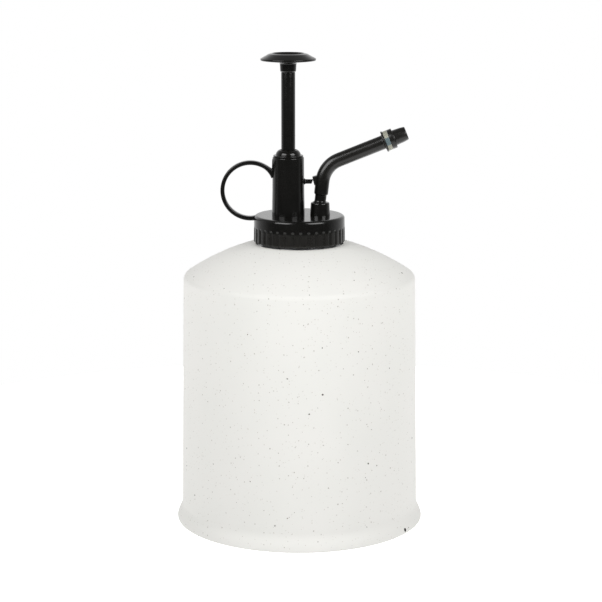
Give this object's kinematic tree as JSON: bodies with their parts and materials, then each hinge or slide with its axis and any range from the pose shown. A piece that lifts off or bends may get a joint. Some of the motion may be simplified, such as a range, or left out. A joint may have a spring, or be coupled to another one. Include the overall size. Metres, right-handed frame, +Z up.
{
  "type": "hand mister",
  "caption": "Plant mister: domed enamelled steel bottle with flared foot, screw-on pump head, thumb knob, finger ring and angled spout with adjustable nozzle.",
  "frame": {"origin": "on the bottle's axis, on the plane that its foot stands on", "axes": "+Z up along the bottle's axis, +X towards the spout, -X towards the finger ring"},
  "size_m": [0.106, 0.106, 0.2],
  "materials": {
    "enamel": "satin off-white enamel with fine dark speckles",
    "neck_steel": "bright steel",
    "black_plastic": "semi-gloss moulded black",
    "natural_plastic": "natural milky white",
    "pale_washer": "milky off-white, slightly blue in the middle",
    "rubber": "matt black rubber",
    "spring_steel": "bright spring wire and balls"
  },
  "bodies": {
    "bottle": {"bottle_shell": "enamel", "bottle_base": "enamel", "threaded_neck": "neck_steel"},
    "gasket": {"neck_gasket": "rubber"},
    "head": {"screw_cap": "black_plastic", "pump_tower": "black_plastic", "finger_ring": "black_plastic", "pump_cylinder": "natural_plastic", "rod_seal": "rubber", "gland_cap": "black_plastic", "return_spring": "spring_steel", "valve_body": "natural_plastic", "outlet_spring": "spring_steel", "dip_tube": "natural_plastic", "riser_tube": "natural_plastic", "spout_socket": "black_plastic", "spout_seal": "rubber", "spout_tube": "black_plastic", "nozzle_washer": "pale_washer", "swirl_core": "natural_plastic"},
    "plunger": {"plunger_knob": "black_plastic", "plunger_rod": "black_plastic", "piston": "natural_plastic", "piston_seal": "rubber"},
    "nozzle": {"nozzle_cap": "black_plastic"},
    "inlet_valve": {"inlet_ball": "spring_steel"},
    "outlet_valve": {"outlet_ball": "spring_steel"}
  },
  "joints": [
    {"name": "head_lift", "type": "slide", "parent": "bottle", "child": "gasket", "axis": [0, 0, 1], "range_m": [0, 0.125]},
    {"name": "cap_turn", "type": "hinge", "parent": "gasket", "child": "head", "pos_m": [0, 0, 0.1262], "axis": [0, 0, 1], "range_deg": [0, 540]},
    {"name": "plunger_push", "type": "slide", "parent": "head", "child": "plunger", "axis": [0, 0, 1], "range_m": [-0.03, 0], "stiffness_N_per_m": 250, "springref_m": 0.008, "deforming": ["return_spring"]},
    {"name": "nozzle_turn", "type": "hinge", "parent": "head", "child": "nozzle", "pos_m": [0.0358, 0, 0.16304], "axis": [0.9285, 0, 0.3714], "range_deg": [0, 360]},
    {"name": "inlet_ball_lift", "type": "slide", "parent": "head", "child": "inlet_valve", "axis": [0, 0, 1], "range_m": [0, 0.0012]},
    {"name": "outlet_ball_lift", "type": "slide", "parent": "head", "child": "outlet_valve", "axis": [0, 0, 1], "range_m": [0, 0.001], "stiffness_N_per_m": 60, "springref_m": -0.001, "deforming": ["outlet_spring"]}
  ]
}
